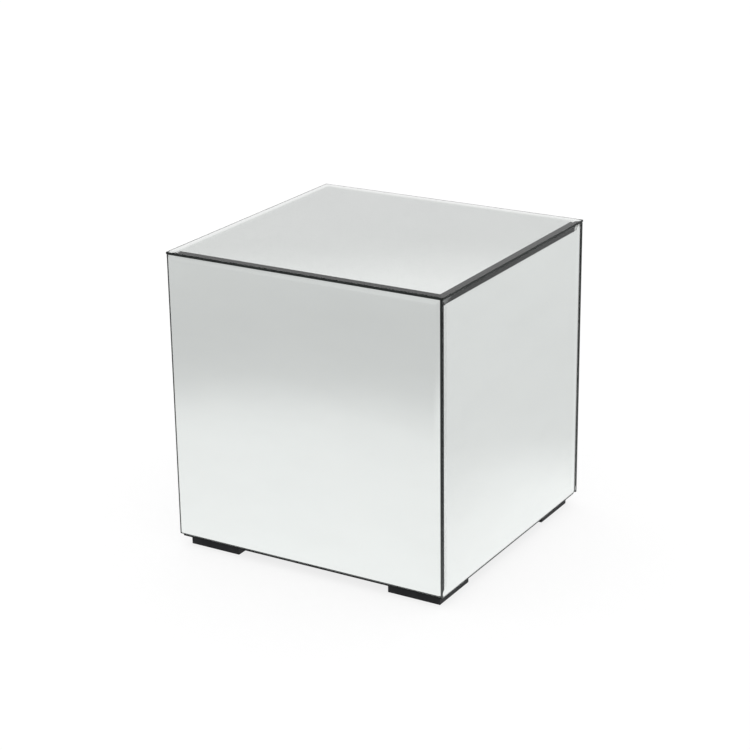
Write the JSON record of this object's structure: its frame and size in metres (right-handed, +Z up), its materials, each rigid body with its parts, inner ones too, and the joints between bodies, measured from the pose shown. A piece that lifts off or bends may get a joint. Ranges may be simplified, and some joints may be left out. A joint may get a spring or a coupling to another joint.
{
  "type": "mirrored cube side table",
  "caption": "Cube side table clad in bevelled mirror panes over a board carcass, on flat square black feet.",
  "frame": {"origin": "on the floor, under the middle of the table's footprint", "axes": "+Z up; -Y is the front; +X is the right side, whose pane covers the front pane's end"},
  "size_m": [0.4, 0.383, 0.4075],
  "materials": {
    "mirror": "silvered float glass, ground and polished bevels",
    "fibreboard": "raw medium-density fibreboard",
    "pine": "planed pine",
    "beech": "fluted beech dowel",
    "mastic": "cured mirror adhesive",
    "zinc": "bright zinc plating",
    "black_board": "black paint on thin board, dull",
    "black_foot": "black paint on board, satin"
  },
  "bodies": {
    "root": {"adhesive_back": "mastic", "adhesive_front": "mastic", "adhesive_left": "mastic", "adhesive_right": "mastic", "adhesive_top": "mastic", "back_mirror": "mirror", "base_board": "black_board", "carcass_back": "fibreboard", "carcass_bottom": "fibreboard", "carcass_front": "fibreboard", "carcass_left": "fibreboard", "carcass_right": "fibreboard", "carcass_top": "fibreboard", "corner_batten_back_left": "pine", "corner_batten_back_right": "pine", "corner_batten_front_left": "pine", "corner_batten_front_right": "pine", "dowel_bottom_left_back": "beech", "dowel_bottom_left_front": "beech", "dowel_bottom_right_back": "beech", "dowel_bottom_right_front": "beech", "dowel_top_left_back": "beech", "dowel_top_left_front": "beech", "dowel_top_right_back": "beech", "dowel_top_right_front": "beech", "foot_back_left": "black_foot", "foot_back_right": "black_foot", "foot_front_left": "black_foot", "foot_front_right": "black_foot", "foot_screw_back_left_inner": "zinc", "foot_screw_back_left_outer": "zinc", "foot_screw_back_right_inner": "zinc", "foot_screw_back_right_outer": "zinc", "foot_screw_front_left_inner": "zinc", "foot_screw_front_left_outer": "zinc", "foot_screw_front_right_inner": "zinc", "foot_screw_front_right_outer": "zinc", "front_mirror": "mirror", "left_mirror": "mirror", "right_mirror": "mirror", "top_mirror": "mirror"}
  },
  "joints": []
}
